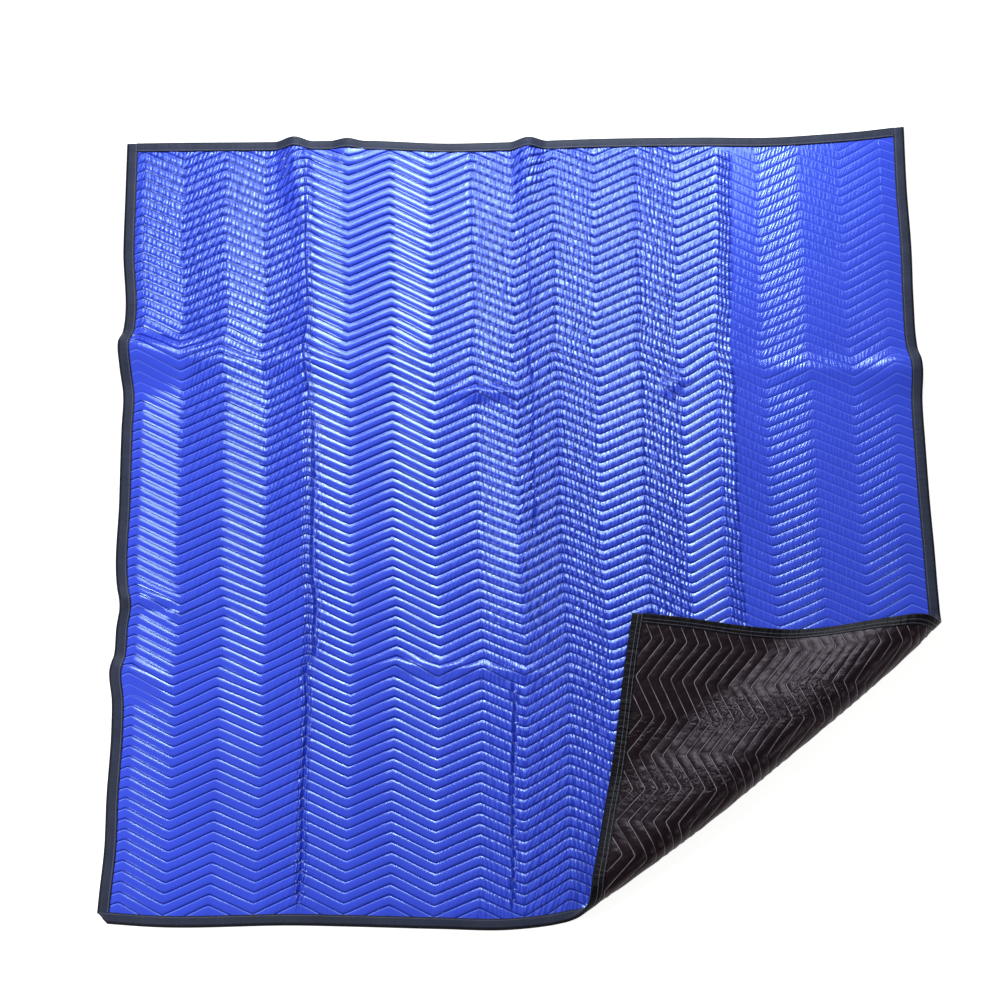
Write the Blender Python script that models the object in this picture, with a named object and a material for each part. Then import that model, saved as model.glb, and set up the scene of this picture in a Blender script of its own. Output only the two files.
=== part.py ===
"""A quilted moving blanket lying on a floor, with one corner turned back over its face.

The cloth is described flat first: u runs across it from the left edge and v runs up it from the
bottom edge. lay(u, v) then gives the place of each point of its middle surface as it lies: the
outline drawn in and out a little, long creases and short ridges standing up from the floor, and
the lower right corner rolled over a fold. Every piece is an offset of that surface.

World axes: X across the blanket, Y up it, Z up from the floor at z = 0. Metres throughout.
"""

import math

import bmesh
import bpy
import numpy as np
from mathutils import Vector
from mathutils.geometry import delaunay_2d_cdt

MM = 0.001
INCH = 0.0254

# Cut size of the cloth
WIDTH = 72 * INCH
HEIGHT = 80 * INCH

# Heights above and below the middle surface
SEAM_LEVEL = -0.7 * MM
PANEL_GAP = 0.3 * MM
STITCH_LOFT = 1.2 * MM
CREST_LOFT = 3.6 * MM
BACK_LOFT = 3.3 * MM
BACK_DIP = 1.3 * MM
MARGIN_LOFT = 2.0 * MM

# The tape that is folded round each edge
TAPE_WIDTH = 25 * MM
TAPE_INSIDE = 2.3 * MM
TAPE_OUTSIDE = 3.3 * MM
TAPE_GAP = 0.7 * MM
TAPE_THICKNESS = 1.0 * MM
TAPE_END_GAP = 0.5 * MM
MARGIN = 26 * MM
BACK_MARGIN = 31 * MM
TICK_SPACING = 90 * MM

# Quilting: rows of zigzag stitching that run across the cloth
ROW_PITCH = 1 * INCH
ZIGZAG_HEIGHT = 2 * INCH
ZIGZAG_RUN = 96 * MM
FIRST_PEAK = 41 * MM

# The outline as it lies, with the folded corner laid out flat: (y, x) up the sides
LEFT_EDGE = (
    (-1.011, -0.906), (-0.952, -0.903), (-0.839, -0.896), (-0.720, -0.896), (-0.550, -0.892),
    (-0.477, -0.894), (-0.416, -0.901), (-0.366, -0.893), (-0.300, -0.891), (-0.241, -0.886),
    (-0.200, -0.893), (0.026, -0.897), (0.208, -0.899), (0.302, -0.899), (0.366, -0.909),
    (0.420, -0.914), (0.470, -0.905), (0.689, -0.913), (0.826, -0.914), (0.979, -0.915),
)
RIGHT_EDGE = (
    (-1.034, 0.927), (-0.920, 0.926), (-0.770, 0.919), (-0.600, 0.922), (-0.450, 0.932),
    (-0.360, 0.935), (-0.283, 0.918), (-0.228, 0.915), (-0.102, 0.911), (0.026, 0.906), (0.155, 0.903),
    (0.286, 0.901), (0.366, 0.904), (0.430, 0.895), (0.553, 0.892), (0.689, 0.893),
    (0.854, 0.889), (1.027, 0.889),
)

# (x, y) along the ends
BOTTOM_EDGE = (
    (-0.906, -1.011), (-0.793, -1.020), (-0.475, -1.017), (-0.347, -1.020), (-0.177, -1.025),
    (-0.029, -1.027), (0.056, -1.017), (0.109, -1.006), (0.250, -1.013), (0.450, -1.029),
    (0.650, -1.038), (0.800, -1.039), (0.927, -1.034),
)
TOP_EDGE = (
    (-0.915, 0.979), (-0.800, 0.981), (-0.600, 0.983), (-0.360, 0.987), (-0.166, 0.979),
    (-0.055, 0.982), (0.170, 0.992), (0.420, 0.996), (0.587, 0.996), (0.695, 1.004),
    (0.788, 1.013), (0.889, 1.027),
)

# The middle of the blanket's extent, which is put at the origin
EXTENT_MIDDLE = (0.0012, -0.0011)

# The lower left corner is cut across by this much along each edge
CORNER_CUT = 22 * MM

# The fold: a line from the bottom edge to the right edge, and the height at which the corner
# then rests on the layer below
FOLD_START = Vector((0.109, -1.004))
FOLD_END = Vector((0.917, -0.283))
FOLD_REST = 8.2 * MM
FOLD_RUNS = 8
ROLL_STEPS = 8
DESCENT_STEPS = 4

# (distance along the fold, radius of the roll)
ROLL_RADIUS = (
    (-0.100, 0.019), (0.000, 0.020), (0.150, 0.025), (0.330, 0.031), (0.600, 0.033),
    (0.840, 0.033), (0.980, 0.032), (1.083, 0.028), (1.150, 0.027),
)

# (distance along the fold, how far inside the line the roll starts)
ROLL_INSET = (
    (-0.100, 0.018), (0.000, 0.015), (0.150, 0.008), (0.330, 0.003), (0.600, 0.004),
    (0.840, 0.007), (0.980, 0.013), (1.083, 0.020), (1.150, 0.022),
)

# Creases and ridges that stand up: middle x, middle y, heading in degrees, half length, half
# width, height. Those with their middle on an edge run in from it.
RIDGES = (
    (-0.927, 0.421, -5, 0.310, 0.050, 0.025),
    (0.916, 0.380, 3, 0.180, 0.045, 0.018),
    (-0.900, -0.232, -2, 0.230, 0.030, 0.009),
    (-0.914, -0.399, -20, 0.190, 0.045, 0.014),
    (-0.530, 0.998, -86, 0.310, 0.045, 0.022),
    (-0.405, 1.000, -90, 0.160, 0.040, 0.012),
    (0.016, 0.998, -92, 0.290, 0.045, 0.020),
    (-0.478, -0.150, 90, 0.640, 0.096, 0.007),
    (0.003, -0.127, 90, 0.420, 0.096, 0.008),
    (0.474, 0.231, 90, 0.520, 0.096, 0.008),
)
RIDGE_RUNS = 5
TALL_RIDGE = 15 * MM
LOW_RIDGE = 8.5 * MM

# Share of a ridge's height at shares of its half width, for tall ridges and for the others
TALL_ACROSS = ((0.0, 1.0), (0.5, 0.45), (1.0, 0.0))
LOW_ACROSS = ((0.0, 1.0), (1.0, 0.0))

FINE_STEP = 0.5 * MM


# ---------------------------------------------------------------- the surface


def read_table(table, where):
    """Smooth values read from a table of (place, value) rows, level past its ends."""
    places, values = np.array(table).T
    slopes = np.gradient(values, places)
    row = np.clip(np.searchsorted(places, where) - 1, 0, len(places) - 2)
    step = places[row + 1] - places[row]
    f = np.clip((where - places[row]) / step, 0, 1)
    rise = f * (1 - f) ** 2 * slopes[row] - f**2 * (1 - f) * slopes[row + 1]
    return values[row] * (1 + 2 * f) * (1 - f) ** 2 + values[row + 1] * f**2 * (3 - 2 * f) + rise * step


def cut_corner(u, v):
    """Draws the lower left corner in, so that its outline runs straight across it."""
    near_side = np.clip(1 - np.maximum(u, 0) / CORNER_CUT, 0, 1)
    near_end = np.clip(1 - np.maximum(v, 0) / CORNER_CUT, 0, 1)
    shift = CORNER_CUT / 2 * near_side * near_end
    return u + shift, v + shift


def spread(u, v):
    """Place on the floor of each point of the cloth, with the corner not yet folded."""
    a = u / WIDTH
    b = v / HEIGHT
    left_y = LEFT_EDGE[0][0] * (1 - b) + LEFT_EDGE[-1][0] * b
    right_y = RIGHT_EDGE[0][0] * (1 - b) + RIGHT_EDGE[-1][0] * b
    bottom_x = BOTTOM_EDGE[0][0] * (1 - a) + BOTTOM_EDGE[-1][0] * a
    top_x = TOP_EDGE[0][0] * (1 - a) + TOP_EDGE[-1][0] * a
    left_x = read_table(LEFT_EDGE, left_y)
    right_x = read_table(RIGHT_EDGE, right_y)
    bottom_y = read_table(BOTTOM_EDGE, bottom_x)
    top_y = read_table(TOP_EDGE, top_x)
    corners_x = (1 - b) * bottom_x + b * top_x
    corners_y = (1 - a) * left_y + a * right_y
    x = (1 - a) * left_x + a * right_x + (1 - b) * bottom_x + b * top_x - corners_x
    y = (1 - a) * left_y + a * right_y + (1 - b) * bottom_y + b * top_y - corners_y
    return x, y


def find_cloth(x, y):
    """The point (u, v) of the cloth that spread() puts at (x, y)."""
    u = x - LEFT_EDGE[0][1]
    v = y - LEFT_EDGE[0][0]
    for _ in range(12):
        there_x, there_y = spread(u, v)
        u = u + (x - there_x)
        v = v + (y - there_y)
    return u, v


def fold_axes():
    """Unit vectors along the fold and across it, towards the folded corner."""
    along = (FOLD_END - FOLD_START).normalized()
    return along, Vector((along.y, -along.x))


def fold_place(x, y):
    """Distances along the fold, and past the line where its roll starts."""
    along, across = fold_axes()
    dx = x - FOLD_START.x
    dy = y - FOLD_START.y
    t = dx * along.x + dy * along.y
    return t, dx * across.x + dy * across.y + read_table(ROLL_INSET, t)


ROLL_TURNS = np.linspace(0, math.pi, ROLL_STEPS + 1)
DESCENT_SHARES = np.linspace(0, 1, DESCENT_STEPS + 1)


def descent(radius):
    """Cloth that runs down from the top of the roll to the layer below, and its length in plan."""
    length = 0.03 + 5.5 * radius
    drop = 2 * radius - FOLD_REST
    return length, length - 0.6 * drop**2 / length


def fold_over(x, y):
    """Rolls the corner over the fold: half a turn, then down to rest on the layer below.

    The roll and the descent are flat between their steps, so that every piece bends alike.
    """
    t, s = fold_place(x, y)
    radius = read_table(ROLL_RADIUS, t)
    turn = np.clip(s / radius, 0, math.pi)
    past = np.maximum(s - math.pi * radius, 0)
    length, plan = descent(radius)
    f = np.clip(past / length, 0, 1)
    outward = radius * np.interp(turn, ROLL_TURNS, np.sin(ROLL_TURNS))
    reach = np.minimum(s, 0) + outward - plan * f - np.maximum(past - length, 0)
    eased = DESCENT_SHARES**2 * (3 - 2 * DESCENT_SHARES)
    drop = (2 * radius - FOLD_REST) * np.interp(f, DESCENT_SHARES, eased)
    rise = radius * np.interp(turn, ROLL_TURNS, 1 - np.cos(ROLL_TURNS)) - drop
    along, across = fold_axes()
    reach = reach - read_table(ROLL_INSET, t)
    folded_x = FOLD_START.x + t * along.x + reach * across.x
    folded_y = FOLD_START.y + t * along.y + reach * across.y
    return folded_x, folded_y, rise


def ridge_place(ridge, x, y):
    """Distances along and across a ridge from its middle."""
    heading = math.radians(ridge[2])
    dx = x - ridge[0]
    dy = y - ridge[1]
    along = dx * math.cos(heading) + dy * math.sin(heading)
    across = dy * math.cos(heading) - dx * math.sin(heading)
    return along, across


def ridge_across(ridge):
    """The table of a ridge's height across it."""
    return TALL_ACROSS if ridge[5] > TALL_RIDGE else LOW_ACROSS


def ridge_rise(x, y):
    """Height of the creases and ridges."""
    shares = np.linspace(0, 1, RIDGE_RUNS + 1)
    fading = np.cos(shares * math.pi / 2) ** 2
    fading[-1] = 0
    rise = np.zeros_like(x)
    for ridge in RIDGES:
        along, across = ridge_place(ridge, x, y)
        half_length, half_width, height = ridge[3:]
        down_length = np.interp(abs(along) / half_length, shares, fading)
        down_side = np.interp(abs(across) / half_width, *np.array(ridge_across(ridge)).T)
        rise = rise + height * down_length * down_side
    return rise


def middle(u, v):
    """Places of the middle surface, one row for each point."""
    x, y = spread(*cut_corner(u, v))
    folded_x, folded_y, rise = fold_over(x, y)
    z = BACK_LOFT + rise + ridge_rise(x, y)
    return np.stack([folded_x - EXTENT_MIDDLE[0], folded_y - EXTENT_MIDDLE[1], z], axis=1)


def lay(u, v, loft):
    """Places at a height above the middle surface, on the face side where loft is positive."""
    du = middle(u + FINE_STEP, v) - middle(u - FINE_STEP, v)
    dv = middle(u, v + FINE_STEP) - middle(u, v - FINE_STEP)
    normal = np.cross(du, dv)
    normal = normal / np.linalg.norm(normal, axis=1)[:, None]
    return middle(u, v) + normal * np.asarray(loft).reshape(-1, 1)


# ---------------------------------------------------------------- quilting


def zigzag(u):
    """How far the stitching runs above its row's lowest points."""
    return ZIGZAG_HEIGHT * abs((u - FIRST_PEAK) / ZIGZAG_RUN % 2 - 1)


def puff(u, v):
    """0 on a line of stitching and 1 midway between two."""
    return 1 - abs(2 * ((v - zigzag(u)) / ROW_PITCH % 1) - 1)


def edge_distance(u, v):
    return np.minimum(np.minimum(u, WIDTH - u), np.minimum(v, HEIGHT - v))


def face_loft(u, v):
    """Quilted where the face shows, and level inside the fold, where it lies against itself."""
    _, s = fold_place(*spread(u, v))
    quilted = STITCH_LOFT + (CREST_LOFT - STITCH_LOFT) * puff(u, v)
    level = (edge_distance(u, v) < MARGIN + FINE_STEP) | (s > -FINE_STEP)
    return np.where(level, MARGIN_LOFT, quilted)


def back_loft(u, v):
    """Flat where the cloth lies on the floor, and quilted where the corner shows its back."""
    _, s = fold_place(*spread(u, v))
    shown = np.clip(s / TAPE_WIDTH, 0, 1)
    quilted = BACK_LOFT - BACK_DIP * (1 - puff(u, v)) * shown
    return -np.where(edge_distance(u, v) < BACK_MARGIN - FINE_STEP, MARGIN_LOFT, quilted)


def quilt_lines():
    """Every line of stitching, and the crest between each two, as runs of (u, v) points."""
    columns = [MARGIN]
    columns += list(np.arange(FIRST_PEAK, WIDTH - MARGIN, ZIGZAG_RUN))
    columns.append(WIDTH - MARGIN)
    columns = np.array(columns)
    first = -math.ceil(ZIGZAG_HEIGHT / (ROW_PITCH / 2))
    last = math.ceil(HEIGHT / (ROW_PITCH / 2))
    lines = []
    for row in range(first, last + 1):
        lines.append(np.stack([columns, row * ROW_PITCH / 2 + zigzag(columns)], axis=1))
    return lines


def one_side(lines, side):
    """The parts of some lines past the start of the fold (side 1) or short of it (side -1)."""
    kept = []
    for line in lines:
        _, s = fold_place(*spread(line[:, 0], line[:, 1]))
        s = s * side
        for k in range(len(line) - 1):
            near, far = s[k], s[k + 1]
            if max(near, far) <= 0:
                continue
            a, b = line[k], line[k + 1]
            if near < 0:
                a = a + (b - a) * near / (near - far)
            if far < 0:
                b = b + (a - b) * far / (far - near)
            kept.append(np.stack([a, b]))
    return kept


# ---------------------------------------------------------------- lines that the folds need


def fold_lines():
    """Lines of equal turn round the roll and down its far side."""
    along, across = fold_axes()
    t = np.linspace(-0.06, (FOLD_END - FOLD_START).length + 0.06, FOLD_RUNS + 1)
    radius = read_table(ROLL_RADIUS, t)
    length, _ = descent(radius)
    places = [radius * turn for turn in ROLL_TURNS]
    places += [math.pi * radius + length * share for share in DESCENT_SHARES[1:]]
    lines = []
    for s in places:
        s = s - read_table(ROLL_INSET, t)
        x = FOLD_START.x + t * along.x + s * across.x
        y = FOLD_START.y + t * along.y + s * across.y
        lines.append(np.stack(find_cloth(x, y), axis=1))
    return lines


def ridge_lines(ridges):
    """Lines along the crest, flanks and feet of each ridge."""
    lines = []
    for ridge in ridges:
        shares = [share for share, _ in ridge_across(ridge)]
        heading = math.radians(ridge[2])
        half_length, half_width = ridge[3:5]
        along = np.linspace(-half_length, half_length, RIDGE_RUNS * 2 + 1)
        for share in [-share for share in shares[:0:-1]] + shares:
            across = share * half_width
            x = ridge[0] + along * math.cos(heading) - across * math.sin(heading)
            y = ridge[1] + along * math.sin(heading) + across * math.cos(heading)
            lines.append(np.stack(find_cloth(x, y), axis=1))
    return lines


def tick_lines(depth):
    """Short lines in from every edge but where it rolls over, so that the outline can bend."""
    lines = []
    outside = -TAPE_GAP
    for v in np.linspace(0, HEIGHT, round(HEIGHT / TICK_SPACING) + 1)[1:-1]:
        lines.append(np.array([(outside, v), (depth, v)]))
        lines.append(np.array([(WIDTH - depth, v), (WIDTH - outside, v)]))
    for u in np.linspace(0, WIDTH, round(WIDTH / TICK_SPACING) + 1)[1:-1]:
        lines.append(np.array([(u, outside), (u, depth)]))
        lines.append(np.array([(u, HEIGHT - depth), (u, HEIGHT - outside)]))
    return [line for line in lines if not on_roll(line)]


def on_roll(line):
    """Whether any end of a line is on the roll of the fold or on its way down."""
    t, s = fold_place(*spread(line[:, 0], line[:, 1]))
    radius = read_table(ROLL_RADIUS, t)
    rolled = math.pi * radius + descent(radius)[0]
    return bool(((s > -BACK_MARGIN) & (s < rolled)).any())


def box_line(inset):
    """A rectangle at one distance in from the cut edges."""
    low_u, high_u = inset, WIDTH - inset
    low_v, high_v = inset, HEIGHT - inset
    corners = [(low_u, low_v), (high_u, low_v), (high_u, high_v), (low_u, high_v), (low_u, low_v)]
    return np.array(corners)


# ---------------------------------------------------------------- meshes


def clip_to(box, a, b):
    """The part of the line a to b inside box, or None."""
    enter, leave = 0.0, 1.0
    for axis in (0, 1):
        run = b[axis] - a[axis]
        for wall, side in ((box[axis], 1), (box[axis + 2], -1)):
            room = (a[axis] - wall) * side
            closing = -run * side
            if abs(closing) < 1e-12:
                if room < 0:
                    return None
            elif closing < 0:
                enter = max(enter, -room / -closing)
            else:
                leave = min(leave, room / closing)
    if leave - enter < 1e-9:
        return None
    return a + (b - a) * enter, a + (b - a) * leave


def clear_of_edges(lines, inset):
    """The parts of some lines at least this far in from every cut edge."""
    box = (inset, inset, WIDTH - inset, HEIGHT - inset)
    kept = []
    for line in lines:
        for a, b in zip(line[:-1], line[1:]):
            piece = clip_to(box, a, b)
            if piece is not None:
                kept.append(np.stack(piece))
    return kept


def triangulate(box, lines):
    """Triangles that fill box = (low u, low v, high u, high v) and keep every line."""
    places = []
    number = {}

    def point(place):
        key = (round(place[0] / (0.4 * MM)), round(place[1] / (0.4 * MM)))
        if key not in number:
            number[key] = len(places)
            places.append(Vector((place[0] / MM, place[1] / MM)))
        return number[key]

    low_u, low_v, high_u, high_v = box
    corners = [point(c) for c in ((low_u, low_v), (high_u, low_v), (high_u, high_v), (low_u, high_v))]
    edges = [(corners[k], corners[(k + 1) % 4]) for k in range(4)]
    for line in lines:
        for a, b in zip(line[:-1], line[1:]):
            piece = clip_to(box, a, b)
            if piece is not None:
                first, second = point(piece[0]), point(piece[1])
                if first != second:
                    edges.append((first, second))
    found, _, triangles, _, _, _ = delaunay_2d_cdt(places, edges, [], 0, 0.02)
    uv = np.array([(p.x * MM, p.y * MM) for p in found])
    on_wall = []
    for axis in (0, 1):
        for wall in (box[axis], box[axis + 2]):
            close = abs(uv[:, axis] - wall) < 0.1 * MM
            uv[close, axis] = wall
            on_wall.append(close)
    slivers = [face for face in triangles if any(close[list(face)].all() for close in on_wall)]
    return uv, [tuple(face) for face in triangles if face not in slivers]


def rim_of(faces):
    """The vertices round the rim of a patch of triangles, in order, anticlockwise in (u, v)."""
    following = {}
    sides = set()
    for face in faces:
        for k in range(3):
            sides.add((face[k], face[(k + 1) % 3]))
    for a, b in sides:
        if (b, a) not in sides:
            following[a] = b
    start = min(following)
    rim = [start]
    while following[rim[-1]] != start:
        rim.append(following[rim[-1]])
    return rim


def start_rim(rim, uv, corner):
    """Turns a rim so that it starts at the vertex nearest one corner."""
    first = min(range(len(rim)), key=lambda k: float(np.hypot(*(uv[rim[k]] - corner))))
    return rim[first:] + rim[:first]


def add_patch(bm, places, faces, face_up):
    """Adds one surface and returns its vertices."""
    made = [bm.verts.new(place) for place in places]
    for face in faces:
        corners = [made[k] for k in face]
        bm.faces.new(corners if face_up else corners[::-1])
    return made


def join_rims(bm, upper, lower, closed=True):
    """Triangles between two matching rims, facing out where upper runs anticlockwise."""
    count = len(upper) if closed else len(upper) - 1
    for k in range(count):
        m = (k + 1) % len(upper)
        bm.faces.new((upper[k], lower[k], lower[m]))
        bm.faces.new((upper[k], lower[m], upper[m]))


def make_object(name, bm, colour, roughness):
    mesh = bpy.data.meshes.new(name)
    bm.to_mesh(mesh)
    bm.free()
    obj = bpy.data.objects.new(name, mesh)
    bpy.context.scene.collection.objects.link(obj)
    material = bpy.data.materials.new(name)
    material.use_nodes = True
    shader = material.node_tree.nodes["Principled BSDF"]
    shader.inputs["Base Color"].default_value = (*colour, 1)
    shader.inputs["Roughness"].default_value = roughness
    shader.inputs["Metallic"].default_value = 0.0
    mesh.materials.append(material)
    return obj


def make_panel(name, upper, lower, colour, roughness):
    """A panel between two surfaces, each given as (uv, triangles, loft of each vertex)."""
    bm = bmesh.new()
    rims = []
    for (uv, faces, loft), face_up in ((upper, True), (lower, False)):
        made = add_patch(bm, lay(uv[:, 0], uv[:, 1], loft), faces, face_up)
        rim = start_rim(rim_of(faces), uv, np.array((0.0, 0.0)))
        rims.append([made[k] for k in rim])
    join_rims(bm, rims[0], rims[1])
    return make_object(name, bm, colour, roughness)


def make_tape(name, box, edge_side, lines, colour, roughness):
    """A tape folded round one edge. box is the part of the cloth that it covers, in (u, v).

    edge_side is the side of that box, counted anticlockwise from the bottom, on the cut edge.
    """
    uv, faces = triangulate(box, lines)
    corner_of_side = ((box[0], box[1]), (box[2], box[1]), (box[2], box[3]), (box[0], box[3]))
    start = np.array(corner_of_side[edge_side])
    end = np.array(corner_of_side[(edge_side + 1) % 4])
    rim = start_rim(rim_of(faces), uv, start)
    turn = min(range(len(rim)), key=lambda k: float(np.hypot(*(uv[rim[k]] - end))))
    on_edge = rim[: turn + 1]
    elsewhere = rim[turn:] + rim[:1]

    bm = bmesh.new()
    u, v = uv[:, 0], uv[:, 1]
    outer_top = add_patch(bm, lay(u, v, np.full(len(u), TAPE_OUTSIDE)), faces, True)
    inner_top = add_patch(bm, lay(u, v, np.full(len(u), TAPE_INSIDE)), faces, False)
    inner_back = add_patch(bm, lay(u, v, np.full(len(u), -TAPE_INSIDE)), faces, True)
    outer_back = add_patch(bm, lay(u, v, np.full(len(u), -TAPE_OUTSIDE)), faces, False)

    inner_edge = [bm.verts.new(place) for place in lay(*uv[on_edge].T, np.zeros(len(on_edge)))]
    outward = np.array(((0, -1), (1, 0), (0, 1), (-1, 0))[edge_side]) * TAPE_THICKNESS
    round_edge = []
    for loft in (TAPE_INSIDE, -TAPE_INSIDE):
        places = lay(*(uv[on_edge] + outward).T, np.full(len(on_edge), loft))
        round_edge.append([bm.verts.new(place) for place in places])

    def pick(made, rim_part):
        return [made[k] for k in rim_part]

    join_rims(bm, pick(outer_top, elsewhere), pick(inner_top, elsewhere), closed=False)
    join_rims(bm, pick(inner_back, elsewhere), pick(outer_back, elsewhere), closed=False)
    join_rims(bm, inner_edge, pick(inner_top, on_edge), closed=False)
    join_rims(bm, pick(inner_back, on_edge), inner_edge, closed=False)
    join_rims(bm, pick(outer_top, on_edge), round_edge[0], closed=False)
    join_rims(bm, round_edge[0], round_edge[1], closed=False)
    join_rims(bm, round_edge[1], pick(outer_back, on_edge), closed=False)
    for k, side in ((0, 1), (-1, -1)):
        ring = [
            outer_top[on_edge[k]], inner_top[on_edge[k]], inner_edge[k], inner_back[on_edge[k]],
            outer_back[on_edge[k]], round_edge[1][k], round_edge[0][k],
        ]
        for corner in range(1, 6):
            face = (ring[0], ring[corner], ring[corner + 1])
            bm.faces.new(face[::side])
    return make_object(name, bm, colour, roughness)


def main():
    for obj in list(bpy.data.objects):
        bpy.data.objects.remove(obj, do_unlink=True)

    folds = fold_lines() + ridge_lines([ridge for ridge in RIDGES if ridge[5] > LOW_RIDGE])
    creases = ridge_lines([ridge for ridge in RIDGES if ridge[5] <= LOW_RIDGE])
    quilting = quilt_lines()
    whole = (0.0, 0.0, WIDTH, HEIGHT)

    plain_lines = folds + tick_lines(BACK_MARGIN) + [box_line(MARGIN)]
    plain_uv, plain_faces = triangulate(whole, plain_lines + creases)
    face_quilting = clear_of_edges(one_side(quilting, -1), MARGIN)
    face_uv, face_faces = triangulate(whole, plain_lines + face_quilting)
    back_quilting = clear_of_edges(one_side(quilting, 1), BACK_MARGIN)
    back_lines = plain_lines + creases + [box_line(BACK_MARGIN)] + back_quilting
    back_uv, back_faces = triangulate(whole, back_lines)

    face_side = (face_uv, face_faces, face_loft(face_uv[:, 0], face_uv[:, 1]))
    back_side = (back_uv, back_faces, back_loft(back_uv[:, 0], back_uv[:, 1]))
    face_inner = (plain_uv, plain_faces, np.full(len(plain_uv), SEAM_LEVEL + PANEL_GAP / 2))
    back_inner = (plain_uv, plain_faces, np.full(len(plain_uv), SEAM_LEVEL - PANEL_GAP / 2))

    make_panel("face_panel", face_side, face_inner, (0.02, 0.06, 0.60), 0.35)
    make_panel("back_panel", back_inner, back_side, (0.02, 0.015, 0.017), 0.7)

    tape_lines = folds + tick_lines(TAPE_WIDTH)
    shown = TAPE_WIDTH
    clear = TAPE_WIDTH + TAPE_END_GAP
    past = TAPE_GAP
    dark = (0.012, 0.012, 0.02)
    low, high_u, high_v = -past, WIDTH + past, HEIGHT + past
    make_tape("binding_bottom", (low, low, high_u, shown), 0, tape_lines, dark, 0.6)
    make_tape("binding_right", (WIDTH - shown, clear, high_u, high_v), 1, tape_lines, dark, 0.6)
    make_tape("binding_left", (low, clear, shown, high_v), 3, tape_lines, dark, 0.6)
    make_tape("binding_top", (clear, HEIGHT - shown, WIDTH - clear, high_v), 2, tape_lines, dark, 0.6)


main()
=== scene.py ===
"""Dresses the moving blanket: quilted cloth, its bound edges, a pale floor, lights and camera.

The cloth is described flat first, as the solids are: u runs across it from the left edge and v
up it from the bottom edge, and lay(u, v, loft) gives the place of a point as it lies.
"""

import math

import bpy
import numpy as np
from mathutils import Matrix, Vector


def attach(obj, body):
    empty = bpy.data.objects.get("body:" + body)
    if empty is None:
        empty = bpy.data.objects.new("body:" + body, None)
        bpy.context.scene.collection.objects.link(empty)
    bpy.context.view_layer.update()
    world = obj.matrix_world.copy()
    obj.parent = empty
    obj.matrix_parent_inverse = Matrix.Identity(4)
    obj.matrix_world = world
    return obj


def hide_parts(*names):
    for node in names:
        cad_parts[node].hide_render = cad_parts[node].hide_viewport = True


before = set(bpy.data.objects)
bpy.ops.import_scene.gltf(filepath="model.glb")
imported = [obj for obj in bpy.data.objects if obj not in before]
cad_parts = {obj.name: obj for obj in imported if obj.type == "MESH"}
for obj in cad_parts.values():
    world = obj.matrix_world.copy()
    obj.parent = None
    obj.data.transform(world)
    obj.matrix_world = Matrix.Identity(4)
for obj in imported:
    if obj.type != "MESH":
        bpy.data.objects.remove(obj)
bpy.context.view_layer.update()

MM = 0.001
INCH = 0.0254

# Cut size of the cloth, and how high its middle surface lies
WIDTH = 72 * INCH
HEIGHT = 80 * INCH
BACK_LOFT = 3.3 * MM

# Quilting: rows of zigzag stitching that run across the cloth. A zigzag's height, the length of
# each of its runs from one turn to the next, u of its first peak, and how sharp it turns, where 1
# would be a point
ROW_PITCH = 1 * INCH
ZIGZAG_HEIGHT = 2 * INCH
ZIGZAG_RUN = 96 * MM
FIRST_PEAK = 41 * MM
ZIGZAG_SHARPNESS = 0.995

# The outline as it lies, with the folded corner laid out flat: (y, x) up the sides
LEFT_EDGE = (
    (-1.011, -0.906), (-0.952, -0.903), (-0.839, -0.896), (-0.720, -0.896), (-0.550, -0.892),
    (-0.477, -0.894), (-0.416, -0.901), (-0.366, -0.893), (-0.300, -0.891), (-0.241, -0.886),
    (-0.200, -0.893), (0.026, -0.897), (0.208, -0.899), (0.302, -0.899), (0.366, -0.909),
    (0.420, -0.914), (0.470, -0.905), (0.689, -0.913), (0.826, -0.914), (0.979, -0.915),
)
RIGHT_EDGE = (
    (-1.034, 0.927), (-0.920, 0.926), (-0.770, 0.919), (-0.600, 0.922), (-0.450, 0.932),
    (-0.360, 0.935), (-0.283, 0.918), (-0.228, 0.915), (-0.102, 0.911), (0.026, 0.906), (0.155, 0.903),
    (0.286, 0.901), (0.366, 0.904), (0.430, 0.895), (0.553, 0.892), (0.689, 0.893),
    (0.854, 0.889), (1.027, 0.889),
)
# (x, y) along the ends
BOTTOM_EDGE = (
    (-0.906, -1.011), (-0.793, -1.020), (-0.475, -1.017), (-0.347, -1.020), (-0.177, -1.025),
    (-0.029, -1.027), (0.056, -1.017), (0.109, -1.006), (0.250, -1.013), (0.450, -1.029),
    (0.650, -1.038), (0.800, -1.039), (0.927, -1.034),
)
TOP_EDGE = (
    (-0.915, 0.979), (-0.800, 0.981), (-0.600, 0.983), (-0.360, 0.987), (-0.166, 0.979),
    (-0.055, 0.982), (0.170, 0.992), (0.420, 0.996), (0.587, 0.996), (0.695, 1.004),
    (0.788, 1.013), (0.889, 1.027),
)
# Middle of that outline once the corner is folded, which becomes the origin
EXTENT_MIDDLE = (0.0012, -0.0011)
# How far along each side the lower left corner is cut across
CORNER_CUT = 22 * MM

# The fold of the lower right corner: its line, how far the corner comes to rest above the layer
# below, and the length over which it comes down, with a share of the roll's radius added
FOLD_START = Vector((0.109, -1.004))
FOLD_END = Vector((0.917, -0.283))
FOLD_REST = 8.2 * MM
FOLD_FALL = 30 * MM
FOLD_FALL_SHARE = 5.5
# How much shorter a falling stretch reaches, as a share of its drop squared by its length
FALL_SHORTENING = 0.6
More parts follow.
